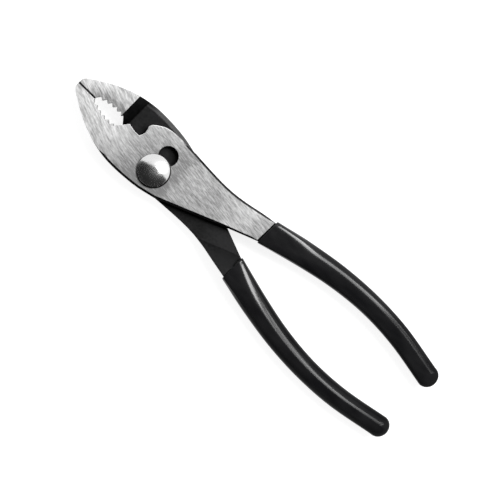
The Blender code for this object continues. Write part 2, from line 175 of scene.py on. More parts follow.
# %% Black card
CARD_REACH = 1.6
CARD_SPREAD = 4.0
CARD_TOP = 1.0
CARD_EDGE_Y = 0.19
CARD_TURN = math.radians(7)
CARD_TONE = 0.01


def card_material():
    """Matt black, for the card that reflections see."""
    material = bpy.data.materials.new("black_card")
    material.use_nodes = True
    shader = material.node_tree.nodes["Principled BSDF"]
    shader.inputs["Base Color"].default_value = (CARD_TONE, CARD_TONE, CARD_TONE, 1)
    shader.inputs["Roughness"].default_value = 1.0
    return material


bm = bmesh.new()
bmesh.ops.create_grid(bm, x_segments=1, y_segments=1, size=CARD_REACH)
for vert in bm.verts:
    near = (vert.co.y + CARD_REACH) / (2 * CARD_REACH)
    vert.co.x *= CARD_SPREAD / CARD_REACH
    vert.co.y = CARD_EDGE_Y - (1 - near) * CARD_REACH
    vert.co.z = CARD_TOP * near
bmesh.ops.rotate(bm, verts=bm.verts, cent=(0, 0, 0), matrix=Matrix.Rotation(CARD_TURN, 3, "Z"))
card = staged("black_card", bm, card_material())
card.visible_camera = False
card.visible_diffuse = False
card.visible_shadow = False
print("card reaches", CARD_REACH, "m down the near side")

# %% [markdown]
# ## Lamps
# The long bright line on a glossy grip is the picture of a long lamp. Three strip lamps are turned
# until their reflections fall where the photograph shows a line: the near one on the front grip
# and the bolt, the side one at the mouths of the grips, and the far one on the rear grip. A weak
# fill lamp evens the steel, and reflections don't see it.

# %% Lamps
LAMPS_AIM = (0.1, 0.005, 0.01)
# Name, place, length and width in metres, radiance, and the direction of the long side.
LAMPS = (
    ("strip_far", (0.22, 0.92, 1.0), (0.60, 0.16), 15.0, (0.32, 0.95, 0)),
    ("strip_near", (0.08, 0.50, 1.0), (0.42, 0.20), 13.0, (0.05, 1.0, 0)),
    ("strip_side", (0.48, 0.64, 1.0), (0.80, 0.24), 20.0, (0.5, 0.8, 0)),
    ("fill", (0.0, 0.3, 1.6), (1.0, 1.0), 0.7, (1, 0, 0)),
)


def soft_lamp(name, place, size, radiance, along):
    """Rectangular area lamp that faces the grips, with its long side along a direction."""
    data = bpy.data.lights.new(name, "AREA")
    data.shape = "RECTANGLE"
    data.size, data.size_y = size
    data.energy = radiance * math.pi * size[0] * size[1]
    lamp = bpy.data.objects.new(name, data)
    back = (Vector(place) - Vector(LAMPS_AIM)).normalized()
    side = back.cross(Vector(along)).normalized()
    turn = Matrix((side.cross(back), side, back)).transposed()
    lamp.matrix_world = Matrix.Translation(place) @ turn.to_4x4()
    bpy.context.scene.collection.objects.link(lamp)
    return lamp


lamps = {row[0]: soft_lamp(*row) for row in LAMPS}
lamps["fill"].visible_glossy = False
print("lamps:", list(lamps))

# %% [markdown]
# ## Finishes
# A photograph of brushed steel could be wrapped round the part, but it would repeat and blur. Here
# every finish is built from noise that reads Object coordinates, so it stays on the steel when the
# tool opens. A Mapping node squeezes the noise across the tool and stretches it along it, which
# turns blobs into grinding lines. A few small functions make the nodes that all finishes share.

# %% Noise and ranges
# Most of a noise's values lie between these two.
NOISE_LOW, NOISE_HIGH = 0.3, 0.7


def blank_material(name, metallic, roughness):
    """Material with one Principled shader whose constant values sit on its sockets."""
    material = bpy.data.materials.new(name)
    material.use_nodes = True
    shader = material.node_tree.nodes["Principled BSDF"]
    shader.inputs["Metallic"].default_value = metallic
    shader.inputs["Roughness"].default_value = roughness
    return material, shader


def noise(material, size, detail=2.0, rough=0.5, turn=0.0):
    """Noise over Object coordinates; size is a blob's size in mm, turned in degrees on the face."""
    nodes, links = material.node_tree.nodes, material.node_tree.links
    place = nodes.new("ShaderNodeTexCoord")
    mapping = nodes.new("ShaderNodeMapping")
    mapping.vector_type = "TEXTURE"
    mapping.inputs["Scale"].default_value = [length * MM for length in size]
    mapping.inputs["Rotation"].default_value = (0, 0, math.radians(turn))
    links.new(place.outputs["Object"], mapping.inputs["Vector"])
    texture = nodes.new("ShaderNodeTexNoise")
    texture.inputs["Scale"].default_value = 1.0
    texture.inputs["Detail"].default_value = detail
    texture.inputs["Roughness"].default_value = rough
    links.new(mapping.outputs[0], texture.inputs["Vector"])
    return texture.outputs["Fac"]


def ranged(material, value, low, high):
    """Spread the middle of a noise value over a useful range."""
    nodes, links = material.node_tree.nodes, material.node_tree.links
    spread = nodes.new("ShaderNodeMapRange")
    spread.inputs["From Min"].default_value = NOISE_LOW
    spread.inputs["From Max"].default_value = NOISE_HIGH
    spread.inputs["To Min"].default_value = low
    spread.inputs["To Max"].default_value = high
    links.new(value, spread.inputs["Value"])
    return spread.outputs["Result"]


def along_axis(material, axis, start, end, low, high):
    """A value that changes slowly from low to high between two places on an axis, in mm."""
    nodes, links = material.node_tree.nodes, material.node_tree.links
    place = nodes.new("ShaderNodeTexCoord")
    parts = nodes.new("ShaderNodeSeparateXYZ")
    links.new(place.outputs["Object"], parts.inputs[0])
    change = nodes.new("ShaderNodeMapRange")
    change.interpolation_type = "SMOOTHSTEP"
    change.inputs["From Min"].default_value = start * MM
    change.inputs["From Max"].default_value = end * MM
    change.inputs["To Min"].default_value = low
    change.inputs["To Max"].default_value = high
    links.new(parts.outputs[axis], change.inputs["Value"])
    return change.outputs["Result"]


# %% Sums, colours and bump
def maths(material, operation, first, second):
    """One Math node."""
    nodes, links = material.node_tree.nodes, material.node_tree.links
    node = nodes.new("ShaderNodeMath")
    node.operation = operation
    for socket, value in zip(node.inputs, (first, second)):
        if isinstance(value, (int, float)):
            socket.default_value = value
        else:
            links.new(value, socket)
    return node.outputs[0]


def toned(material, shade, places):
    """Add slow changes along the axes to a shade."""
    for place in places:
        shade = maths(material, "ADD", shade, along_axis(material, *place))
    return shade


def blend(material, factor, first, second):
    """Mix two values by a factor."""
    nodes, links = material.node_tree.nodes, material.node_tree.links
    mix = nodes.new("ShaderNodeMix")
    links.new(factor, mix.inputs["Factor"])
    links.new(first, mix.inputs["A"])
    links.new(second, mix.inputs["B"])
    return mix.outputs["Result"]


def colour(material, value, dark, light):
    """Blend between two colours by a value from 0 to 1."""
    nodes, links = material.node_tree.nodes, material.node_tree.links
    mix = nodes.new("ShaderNodeMix")
    mix.data_type = "RGBA"
    mix.inputs["A"].default_value = (*dark, 1)
    mix.inputs["B"].default_value = (*light, 1)
    links.new(value, mix.inputs["Factor"])
    return mix.outputs["Result"]


def bump(material, shader, height, depth):
    """Raise the surface by height times depth, in metres."""
    nodes, links = material.node_tree.nodes, material.node_tree.links
    node = nodes.new("ShaderNodeBump")
    node.inputs["Strength"].default_value = 1.0
    node.inputs["Distance"].default_value = depth
    links.new(height, node.inputs["Height"])
    links.new(node.outputs[0], shader.inputs["Normal"])


# %% Worn edges with a painted highlight
WEAR_AND_HIGHLIGHT = "wear_and_highlight"


def rubbed_and_highlit(material, tone, bare):
    """Blend a finish towards a barer tone on points that carry wear and a painted highlight."""
    nodes, links = material.node_tree.nodes, material.node_tree.links
    wear_and_highlight = nodes.new("ShaderNodeAttribute")
    wear_and_highlight.attribute_name = WEAR_AND_HIGHLIGHT
    mix = nodes.new("ShaderNodeMix")
    mix.data_type = "RGBA"
    links.new(wear_and_highlight.outputs["Fac"], mix.inputs["Factor"])
    links.new(tone, mix.inputs["A"])
    mix.inputs["B"].default_value = (*bare, 1)
    return mix.outputs["Result"]


# %% [markdown]
# ## Ground steel
# The faces of the forging are ground on a belt. It leaves short fine lines, which lie steeper on
# the jaw than on the body, and it presses harder in some places than in others. The lines are
# two noises that blend into each other, and the patches are a third. The slow tones along X and
# Y are painted light and shade: the body is lighter towards the jaw, and the upper jaw towards
# its outer edge, where the real faces tilt towards the lamps. Worn edges are lighter too, partly
# from wear and partly as a painted highlight. The body, the upper jaw and the thin flanks each
# catch the light in their own way, so one function makes three finishes from three lists of
# tones.

# %% Ground steel
JAW_LINE = (4.5, 0.75, 0.75)
BODY_LINE = (3.2, 0.5, 0.5)
PATCH = (12, 5, 5)
PATCH_SHADE = 0.05
LINE_DEPTH = 0.012 * MM
GROUND_ROUGHNESS = (0.68, 0.58)
DARK_STEEL = (0.22, 0.22, 0.22)
BARE_STEEL = (1.0, 1.0, 1.0)
# Axis, start and end in mm, and the value at each of the two.
JAW_TO_BODY = ("X", -32, -8, 0, 1)
LINE_CONTRAST = ("X", -28, -10, 0.62, 0.40)
# Painted light and shade along the body: lighter towards the jaw, with smaller steps along X and Y.
BODY_PAINTED_LIGHT = (("X", -50, -42, -0.10, 0), ("X", -36, -4, 0.55, 0.12), ("Y", -9, 3, -0.10, 0),
              ("Y", 8, 18, 0, 0.08), ("X", -1, 6, 0, -0.07), ("X", 8, 13, 0, 0.13),
              ("X", 18, 26, 0, -0.05), ("X", 26, 40, 0, 0.12), ("X", 43, 50, 0, -0.17))
# Painted highlight on the upper jaw: lighter towards its outer edge and towards its nose.
JAW_PAINTED_LIGHT = (("Y", 5, 15, 0.02, 0.38), ("X", -50, -36, 0.40, 0))
EDGE_TONES = (("X", -60, -55, 0, 0.3),)


def show(material):
    """Print how many nodes a finish took."""
    print(material.name, "has", len(material.node_tree.nodes), "nodes")


def ground_steel(name, tone_places):
    """Belt ground face: short lines along the tool over slow patches, with painted light."""
    material, shader = blank_material(name, metallic=1.0, roughness=0.45)
    jaw_lines = noise(material, JAW_LINE, detail=3.0, rough=0.7, turn=-20)
    body_lines = noise(material, BODY_LINE, detail=3.0, rough=0.7, turn=-7)
    lines = blend(material, along_axis(material, *JAW_TO_BODY), jaw_lines, body_lines)
    patches = noise(material, PATCH, detail=2.0, turn=-10)
    contrast = along_axis(material, *LINE_CONTRAST)
    line_shade = ranged(material, lines, low=-0.5, high=0.5)
    shade = maths(material, "MULTIPLY", line_shade, contrast)
    patch_shade = ranged(material, patches, low=-PATCH_SHADE, high=PATCH_SHADE)
    shade = maths(material, "ADD", shade, patch_shade)
    # The slow tones add painted light and shade; worn points get a tone that is partly wear, partly
    # a painted highlight.
    tone = colour(material, toned(material, shade, tone_places), DARK_STEEL, BARE_STEEL)
    links = material.node_tree.links
    links.new(rubbed_and_highlit(material, tone, BARE_STEEL), shader.inputs["Base Color"])
    links.new(ranged(material, lines, *GROUND_ROUGHNESS), shader.inputs["Roughness"])
    bump(material, shader, lines, LINE_DEPTH)
    show(material)
    return material


finish_body = ground_steel("ground_steel", BODY_PAINTED_LIGHT)
finish_jaw = ground_steel("ground_jaw_steel", JAW_PAINTED_LIGHT)
finish_edge = ground_steel("ground_edge_steel", EDGE_TONES)

# %% [markdown]
# ## Black oxide
# The forged skin is blackened in a hot salt bath. It is dark, half dull and faintly mottled, and
# it is bare where it rubs; on the lap's rounding that lighter tone is partly a painted highlight.
# Paint would hide the steel, and oxide doesn't, so the shader stays metallic with a very dark
# tone. Fine noise is the grain of the forging, and slow noise clouds it. Slow tones along X are
# painted shade: darker past the pivot, where the front lever shades the rear handle, and lighter
# towards the grip.

# %% Black oxide
GRAIN = (1.1, 1.1, 1.1)
CLOUD = (6, 6, 6)
GRAIN_DEPTH = 0.03 * MM
SKIN_ROUGHNESS = (0.38, 0.54)
# Painted shade: darker past the pivot, where the front lever shades the rear handle, lighter
# towards the grip.
SKIN_PAINTED_SHADE = (("X", -4, 6, 0, -0.25), ("X", 26, 50, 0, 1.0))
SKIN_DARK = (0.012, 0.012, 0.012)
SKIN_LIGHT = (0.025, 0.025, 0.0255)
SKIN_WORN_AND_LIT = (0.16, 0.16, 0.16)
SKIN_SHEEN = (0.3, 0.3, 0.3)


def black_oxide():
    """Forged skin blackened in a hot salt bath: dark, faintly mottled, half dull."""
    material, shader = blank_material("black_oxide", metallic=1.0, roughness=0.42)
    shader.inputs["Specular Tint"].default_value = (*SKIN_SHEEN, 1)
    grain = noise(material, GRAIN, detail=4.0, rough=0.6)
    clouds = noise(material, CLOUD, detail=2.0)
    mottle = maths(material, "ADD", ranged(material, grain, low=0, high=0.5),
                   ranged(material, clouds, low=0, high=0.5))
    # The slow tones paint shade near the front lever; rubbed points are partly worn, partly
    # highlit.
    tone = colour(material, toned(material, mottle, SKIN_PAINTED_SHADE), SKIN_DARK, SKIN_LIGHT)
    links = material.node_tree.links
    links.new(rubbed_and_highlit(material, tone, SKIN_WORN_AND_LIT), shader.inputs["Base Color"])
    links.new(ranged(material, grain, *SKIN_ROUGHNESS), shader.inputs["Roughness"])
    bump(material, shader, grain, GRAIN_DEPTH)
    show(material)
    return material


finish_black = black_oxide()

# %% [markdown]
# ## Buffed steel
# The head of the bolt is struck cold and buffed, so it is nearly a mirror, but its reflections
# have soft and slightly broken edges. An even roughness would look plated. Here small dents from
# the strike break the edges, and a fine haze in the roughness softens them.

# %% Buffed steel
DENT = (1.3, 1.3, 1.3)
HAZE = (0.4, 0.4, 0.4)
DENT_DEPTH = 0.02 * MM
BUFFED_ROUGHNESS = (0.175, 0.215)
HAZY_STEEL = (0.96, 0.96, 0.96)


def buffed_steel():
    """Bright buffed dome, not quite a mirror, with small dents from heading."""
    material, shader = blank_material("buffed_steel", metallic=1.0, roughness=0.16)
    dents = noise(material, DENT, detail=2.0)
    haze = noise(material, HAZE, detail=3.0)
    tone = colour(material, ranged(material, haze, low=0, high=1), HAZY_STEEL, BARE_STEEL)
    links = material.node_tree.links
    links.new(tone, shader.inputs["Base Color"])
    links.new(ranged(material, haze, *BUFFED_ROUGHNESS), shader.inputs["Roughness"])
    bump(material, shader, dents, DENT_DEPTH)
    show(material)
    return material


finish_buffed = buffed_steel()

# %% [markdown]
# ## Dipped vinyl
# The skin of a grip set from a liquid, so it is glossy with a slow ripple. On the real grips the
# bright line is strong at the mouth, weaker along the handle and gone near the end, and the
# rear grip's line is dimmer than the front one's. Lamps alone can't do all of that, so the shine
# itself, the specular level, changes slowly along the axes. It is low on the flanks, which
# would pick up a light rim from the white floor.

# %% Dipped vinyl
FLANK_SHINE = 0.15
MOUTH_SHINE = ("X", 64, 92, 0.45, 0.21)
FAR_PART = ("X", 108, 122, 0, 1)
FRONT_LOSS = ("Y", 0, 9, 0, -0.65)
END_FADE = ("X", 124, 148, 1, 0.4)
REAR_FADE = ("Y", 0, 9, 0.8, 1)
LOWER_FLANK = ("Z", 4.2, 5.5, 1, FLANK_SHINE)
UPPER_FLANK = ("Z", 12.1, 13.4, FLANK_SHINE, 1)
RIPPLE = (11, 4, 4)
SKIN = (3, 2, 2)
RIPPLE_DEPTH = 0.006 * MM
VINYL_ROUGHNESS = (0.15, 0.17)
VINYL_DARK = (0.0045, 0.0045, 0.005)
VINYL_LIGHT = (0.009, 0.009, 0.0095)


def vinyl_shine(material):
    """Specular level over the grips."""
    shine = along_axis(material, *MOUTH_SHINE)
    far_front = maths(material, "MULTIPLY", along_axis(material, *FAR_PART),
                      along_axis(material, *FRONT_LOSS))
    flanks = maths(material, "MAXIMUM", along_axis(material, *LOWER_FLANK),
                   along_axis(material, *UPPER_FLANK))
    fades = (along_axis(material, *END_FADE), along_axis(material, *REAR_FADE),
             maths(material, "ADD", far_front, 1.0), flanks)
    for fade in fades:
        shine = maths(material, "MULTIPLY", shine, fade)
    return shine


def dipped_vinyl():
    """Soft black vinyl that set from a dip: glossy, with a faint slow ripple."""
    material, shader = blank_material("dipped_vinyl", metallic=0.0, roughness=0.16)
    ripple = noise(material, RIPPLE, detail=1.0)
    skin = noise(material, SKIN, detail=2.0)
    tone = colour(material, ranged(material, ripple, low=0, high=1), VINYL_DARK, VINYL_LIGHT)
    links = material.node_tree.links
    links.new(tone, shader.inputs["Base Color"])
    links.new(vinyl_shine(material), shader.inputs["Specular IOR Level"])
    links.new(ranged(material, skin, *VINYL_ROUGHNESS), shader.inputs["Roughness"])
    bump(material, shader, ripple, RIPPLE_DEPTH)
    show(material)
    return material


finish_vinyl = dipped_vinyl()

# %% [markdown]
# ## Levers
# Both levers are the same forging, and the second is turned over. The CAD solid already has the
# jaws, teeth, laps and rounded edges, and drawing them again could only lose their fit. So the
# visible lever starts as a copy of the imported mesh, merged, because that mesh is loose triangles.
# Small steps then give it what the belt and years of use leave on the real one, and a painted
# highlight on its worn edges. Each step is written for the forging with its ground side up, and
# two functions turn a place or a direction on either lever into one on the forging.

# %% Turn a place on either lever into the place on the forging
# The jaws meet at MID_Y, and the laps of the two levers lie against each other at LAP_Z.
MID_Y = 4.7 * MM
LAP_Z = 8.8 * MM


def on_forging(point, is_rear):
    """The same place on the forging, seen with its ground side up."""
    if is_rear:
        return Vector((point.x, 2 * MID_Y - point.y, LAP_Z - point.z))
    return Vector((point.x, point.y, point.z - LAP_Z))


def upright(normal, is_rear):
    """A direction on either lever as it is on the forging."""
    return Vector((normal.x, -normal.y, -normal.z)) if is_rear else normal


# %% [markdown]
# ## An easing curve
# Wear, roundings and the grips all fade in or out along the tool. A straight fade shows a kink
# where it starts and where it ends, and this curve leaves both ends level.

# %% An easing curve that several shapes share
def eased(start, end, t):
    """Value that leaves start and reaches end without a kink."""
    t = min(max(t, 0.0), 1.0)
    return start + (end - start) * t * t * (3 - 2 * t)


print("a quarter of the way, eased:", eased(0, 1, 0.25))

# %% [markdown]
# ## What the belt reaches
# On the real forging the front face and the jaw are ground bright, and all the rest stays black.
# The two could be split by hand in the editor. Here each face of the mesh is asked where it lies
# and which way it looks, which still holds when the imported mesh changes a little.

# %% Which faces the belt reaches
GROUND, BLACK, FLANK = 0, 1, 2
# How far a face looks up or down for it to count as level, steep or tilted.
LEVEL = 0.99
STEEP = 0.3
TILTED = 0.1
# The ground faces stand FACE_RISE from the lap, and slope or round off within FACE_FALL.
FACE_RISE = 5.0 * MM
FACE_FALL = 1.3 * MM
JAW_REAR_X = -26.8 * MM
FLANK_REAR_X = -22.5 * MM
FLANK_MARGIN = 2.5 * MM
LAP_EDGE_X = 1.0 * MM
LAP_EDGE_Y = 5.5 * MM
FLATS_END_X = -40.4 * MM
TEETH_REAR_X = -26.4 * MM


def is_back_wall(normal):
    """True for walls that look away from the other jaw."""
    return abs(normal.z) < STEEP and normal.y < STEEP


def finish_index(face, is_rear):
    """Which of a lever's finishes a face gets: ground face, black forging or ground flank."""
    place = on_forging(face.calc_center_median(), is_rear)
    normal = upright(face.normal, is_rear)
    at_face = abs(place.z) > FACE_RISE - FACE_FALL
    if at_face and normal.z > LEVEL and place.z > 0:
        return GROUND
    if at_face and normal.z < -LEVEL and place.z < 0:
        return GROUND if place.x < JAW_REAR_X else BLACK
    if is_back_wall(normal) and place.x < FLANK_REAR_X and place.y < MID_Y - FLANK_MARGIN:
        return FLANK
    is_tooth = abs(normal.z) < STEEP and normal.y > 0 and 0 < place.y < MID_Y
    if is_tooth and FLATS_END_X < place.x < TEETH_REAR_X:
        return FLANK
    is_rim = at_face and abs(normal.z) > TILTED
    if is_rim and place.x < FLANK_REAR_X:
        return GROUND if place.z > 0 or place.x < JAW_REAR_X else BLACK
    on_lap_edge = is_rim and place.z > 0 and place.x < LAP_EDGE_X and place.y > LAP_EDGE_Y
    return GROUND if on_lap_edge else BLACK


# %% [markdown]
# ## Flared back
# The handle was forged a little wider at its black back than at its ground face, so a dark line
# stands beside the bright face when it is seen square on. The points of the outer side are moved
# out, more below the face than at it, and the move fades before the slot and before the grip.

# %% Let the forged back stand out beyond the ground face
FLARE_START_X = 3.0 * MM
FLARE_END_X = 54.0 * MM
FLARE_RUN = 5.0 * MM
FLARE_DEPTH = 1.0 * MM
FACE_FLARE = 0.22 * MM
BACK_FLARE = 0.5 * MM
SIDEWAYS = 0.2


def flare_handle(bm):
    """Widen the outer side of the handle, more below the ground face than at it."""
    moved = 0
    for vert in bm.verts:
        place = vert.co - Vector((0, 0, LAP_Z))
        if not FLARE_START_X < place.x < FLARE_END_X or abs(vert.normal.y) < SIDEWAYS:
            continue
        fade = min((place.x - FLARE_START_X) / FLARE_RUN, (FLARE_END_X - place.x) / FLARE_RUN, 1.0)
        depth = min(max((FACE_RISE - place.z) / FLARE_DEPTH, 0.0), 1.0)
        if vert.normal.y > 0 and place.y > MID_Y:
            vert.co.y += fade * (FACE_FLARE + (BACK_FLARE - FACE_FLARE) * depth)
            moved += 1
    print("  points of the handle's back moved:", moved)


# %% [markdown]
# ## Crest highlight
# The crest of the lap rubs against hands and pockets, and its rounded edge catches the light.
# The bright line along it is partly that wear and partly a painted highlight, and it fades out
# along X. Paint on an image would need a UV map, so the line is one number on each point, and
# the finishes read it by name. The edge round the slot is left out, because the bolt's head
# covers and spares it.

# %% Paint a highlight on the worn crest of the lap
SLOT_CENTRE = (0.0, 8.9 * MM)
SLOT_REACH = 6.5 * MM
CREST_FADE_X = -11.0 * MM
CREST_FADE_RUN = 7.0 * MM
ROUNDING_NORMALS = (0.2, 0.95)


def highlight_crest(bm, is_rear):
    """Paint wear and a highlight on the outer points of the crest's rounding."""
    wear_and_highlight = bm.verts.layers.float.new(WEAR_AND_HIGHLIGHT)
    steepest, flattest = ROUNDING_NORMALS
    for vert in bm.verts:
        place = on_forging(vert.co, is_rear)
        on_crest = (place.x < LAP_EDGE_X and place.y > LAP_EDGE_Y
                    and place.z > FACE_RISE - FACE_FALL)
        by_slot = (place.xy - Vector(SLOT_CENTRE)).length < SLOT_REACH
        if on_crest and not by_slot and steepest < abs(vert.normal.z) < flattest:
            vert[wear_and_highlight] = eased(1.0, 0.0, (place.x - CREST_FADE_X) / CREST_FADE_RUN)
    # Counts the points that get the crest's painted highlight.
    print("  points worn bright:", sum(vert[wear_and_highlight] > 0 for vert in bm.verts))


# %% [markdown]
# ## Nose flats
# At the nose the jaws close on serrated flats, and only a dark line parts them. The CAD solids
# keep a gap there so that they never touch. The visible flats mesh, which takes the light out of
# the gap, and a shallow relief at both faces is left open as the dark line.

# %% Bring the serrated flats of the nose together
FLAT_LOW_Y = 3.9 * MM
# The height of a tooth on one flat and the floor of the gap across from it add up to this.
SERRATION_SUM_Y = 8.65 * MM
MESH_REACH = 0.355 * MM
RELIEF_Z = 3.5 * MM
RELIEF_STEP = 0.15 * MM
RELIEF_EDGE_Y = 4.26 * MM
CUT_SNAP = 1e-7


def once(parts):
    """Each part once, in the order in which it first comes; a set's order changes each run."""
    return list(dict.fromkeys(parts))


def on_flats(point, is_rear):
    """True for places on the gripping flats of the nose."""
    place = on_forging(point, is_rear)
    return place.x < FLATS_END_X and FLAT_LOW_Y < place.y < MID_Y


def close_flats(bm, is_rear):
    """Mesh the serrations below a shallow relief, which shows as the dark parting line."""
    for height in (-RELIEF_Z, -RELIEF_Z + RELIEF_STEP, RELIEF_Z - RELIEF_STEP, RELIEF_Z):
        walls = [f for f in bm.faces if all(on_flats(v.co, is_rear) for v in f.verts)]
        geom = once(part for f in walls for part in (*f.verts, *f.edges, f))
        bmesh.ops.bisect_plane(bm, geom=geom, dist=CUT_SNAP, plane_co=(0, 0, LAP_Z + height),
                               plane_no=(0, 0, 1))
    for vert in bm.verts:
        if not on_flats(vert.co, is_rear):
            continue
        across = on_forging(vert.co, is_rear).y
        if abs(vert.co.z - LAP_Z) > RELIEF_Z - RELIEF_STEP / 2:
            across = RELIEF_EDGE_Y
        elif is_rear:
            across = SERRATION_SUM_Y - across + MESH_REACH
        else:
            across += MESH_REACH
        vert.co.y = 2 * MID_Y - across if is_rear else across
    print("  serrations reach over the gap by", round(MESH_REACH / MM, 3), "mm")


# %% [markdown]
# ## Rounded lap
# Behind the jaws each lever is cut to half its thickness, and forging leaves the outer edge of
# this lap well rounded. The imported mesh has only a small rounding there. A bevel makes the large
# one, after the lap's triangles are joined into one face so that the bevel has room. Along the
# handle the rounding is drawn back into the corner, because a bevel would end with a step.

# %% Round the outer edge of the lap
LAP_ROUNDING = 2.2 * MM
LAP_ROUND_STEPS = 5
LAP_ROUND_END_X = 12.0 * MM
LAP_FLATNESS = 0.3 * MM
LAP_JOIN_ANGLE = math.radians(0.5)
LAP_MERGE = 2e-6
SHOULDER_X = -22.0 * MM
LAP_HIGHLIGHT_RUN = 7.0 * MM
LAP_TAPER_X = 3.0 * MM
LAP_TAPER_RUN = 8.5 * MM


def on_segment(point, start, end):
    """The place on a segment that is nearest to a point."""
    nearest, part = intersect_point_line(point, start, end)
    return start if part < 0 else end if part > 1 else nearest


def lap_rim(bm, is_rear):
    """Join the lap into one face and find its edges along the back of the lever."""
    def is_lap(face):
        place = on_forging(face.calc_center_median(), is_rear)
        return abs(place.z) < LAP_FLATNESS and abs(face.normal.z) > LEVEL

    lap = [f for f in bm.faces if is_lap(f)]
    inner = [e for e in once(e for f in lap for e in f.edges)
             if all(is_lap(f) for f in e.link_faces)]
    lap_verts = once(v for f in lap for v in f.verts)
    bmesh.ops.dissolve_limit(bm, angle_limit=LAP_JOIN_ANGLE, verts=lap_verts, edges=inner)
    rim = []
    for edge in bm.edges:
        place = on_forging((edge.verts[0].co + edge.verts[1].co) / 2, is_rear)
        on_rim = (any(is_lap(f) for f in edge.link_faces)
                  and any(is_back_wall(upright(f.normal, is_rear)) for f in edge.link_faces))
        if on_rim and place.y < 0 and place.x < LAP_ROUND_END_X:
            rim.append(edge)
    return rim


def round_lap(bm, is_rear):
    """Round the forged edge between the lap face and the back of the lever."""
    rim = lap_rim(bm, is_rear)
    print("  edges of the lap rounded:", len(rim))
    corners = [(e.verts[0].co.copy(), e.verts[1].co.copy()) for e in rim]
    made = bmesh.ops.bevel(bm, geom=rim, offset=LAP_ROUNDING, offset_type="OFFSET",
                           segments=LAP_ROUND_STEPS, profile=0.5, affect="EDGES", material=-1,
                           clamp_overlap=False)
    bm.normal_update()
    # The rounding's steeper points get a lighter tone, partly wear and partly a painted highlight.
    wear_and_highlight = bm.verts.layers.float[WEAR_AND_HIGHLIGHT]
    rounded = once(v for f in made["faces"] for v in f.verts)
    for vert in rounded:
        worn_and_lit = eased(0, 1, (vert.co.x - SHOULDER_X) / LAP_HIGHLIGHT_RUN)
        vert[wear_and_highlight] = (1 - vert.normal.z**2) * worn_and_lit
        corner = min((on_segment(vert.co, *ends) for ends in corners),
                     key=lambda p: (p - vert.co).length)
        vert.co = vert.co.lerp(corner, eased(0, 1, (vert.co.x - LAP_TAPER_X) / LAP_TAPER_RUN))
    bmesh.ops.remove_doubles(bm, verts=rounded, dist=LAP_MERGE)


# %% [markdown]
# ## Crowned faces
# A belt is soft, so a face that it grinds is never quite flat: it falls away towards the back of
# the jaw. That small fall makes one jaw catch the light and the other lose it. Bump could tilt the
# light, but not the edge, so the points themselves are lowered. A flat CAD face has too few
# points for that, and planes across X and Y first cut it into a grid.

# %% Cut the ground faces into a grid
GRID = 1.0 * MM
ON_LINE = 1e-6


def cut_grid(bm, faces):
    """Cut flat faces by planes across X and Y, then drop the old triangle edges inside them."""
    geom = once(part for f in faces for part in (*f.verts, *f.edges, f))
    xs = [v.co.x for f in faces for v in f.verts]
    ys = [v.co.y for f in faces for v in f.verts]
    for axis, low, high in ((0, min(xs), max(xs)), (1, min(ys), max(ys))):
        normal = Vector((1, 0, 0)) if axis == 0 else Vector((0, 1, 0))
        for i in range(math.ceil(low / GRID), math.floor(high / GRID) + 1):
            geom = bmesh.ops.bisect_plane(bm, geom=geom, dist=CUT_SNAP,
                                          plane_co=normal * i * GRID, plane_no=normal)["geom"]
    inner = {f for f in geom if isinstance(f, bmesh.types.BMFace)}
    slanted = [e for e in geom if isinstance(e, bmesh.types.BMEdge) and len(e.link_faces) == 2
               and all(f in inner for f in e.link_faces)
               and abs(e.verts[0].co.x - e.verts[1].co.x) > ON_LINE
               and abs(e.verts[0].co.y - e.verts[1].co.y) > ON_LINE]
    bmesh.ops.dissolve_edges(bm, edges=slanted, use_verts=True)
    print("  old edges dropped from the grid:", len(slanted))


# %% Let the faces fall towards the backs of the jaws
CROWN_WIDTH = 6.0 * MM
CROWN_END_X = -12.0 * MM
CROWN_FADE = 10.0 * MM
BACK_NORMAL_Y = 0.35
BACK_LIMIT_Y = 0.6 * MID_Y


def jaw_back(bm, is_rear):
    """Search tree of the walls at the back of the jaw."""
    points, polygons = [], []
    for face in bm.faces:
        normal = upright(face.normal, is_rear)
        place = on_forging(face.calc_center_median(), is_rear)
        is_back = abs(normal.z) < STEEP and normal.y < BACK_NORMAL_Y
        if is_back and place.x < 0 and place.y < BACK_LIMIT_Y:
            polygons.append(tuple(range(len(points), len(points) + len(face.verts))))
            points += [v.co.copy() for v in face.verts]
    return BVHTree.FromPolygons(points, polygons)


def crown(bm, is_rear, deepest):
    """Lower both faces of the jaw towards its back, as a belt leaves them."""
    back = jaw_back(bm, is_rear)
    for vert in bm.verts:
        place = on_forging(vert.co, is_rear)
        if place.x > CROWN_END_X or abs(place.z) < FACE_RISE - FACE_FALL:
            continue
        *_, distance = back.find_nearest(Vector((vert.co.x, vert.co.y, LAP_Z)))
        inside = min(distance / CROWN_WIDTH, 1.0)
        fade = min((CROWN_END_X - place.x) / CROWN_FADE, 1.0)
        drop = deepest * (1 - inside) ** 2 * fade
        vert.co.z -= math.copysign(drop, vert.co.z - LAP_Z)
    print("  faces fall by up to", round(deepest / MM, 2), "mm")


# %% [markdown]
# ## Both levers
# Every piece ends in the same way: edges between two finishes or over a sharp angle stay sharp,
# the rest is shaded smooth, and the mesh rides on its body. The levers also get weighted normals,
# which keep large flat faces flat beside their small roundings. The rear lever's jaw falls away
# more than the front one's, and only the front lever shows its flared back.

# %% Finish a piece
FACE_WEIGHT = 100


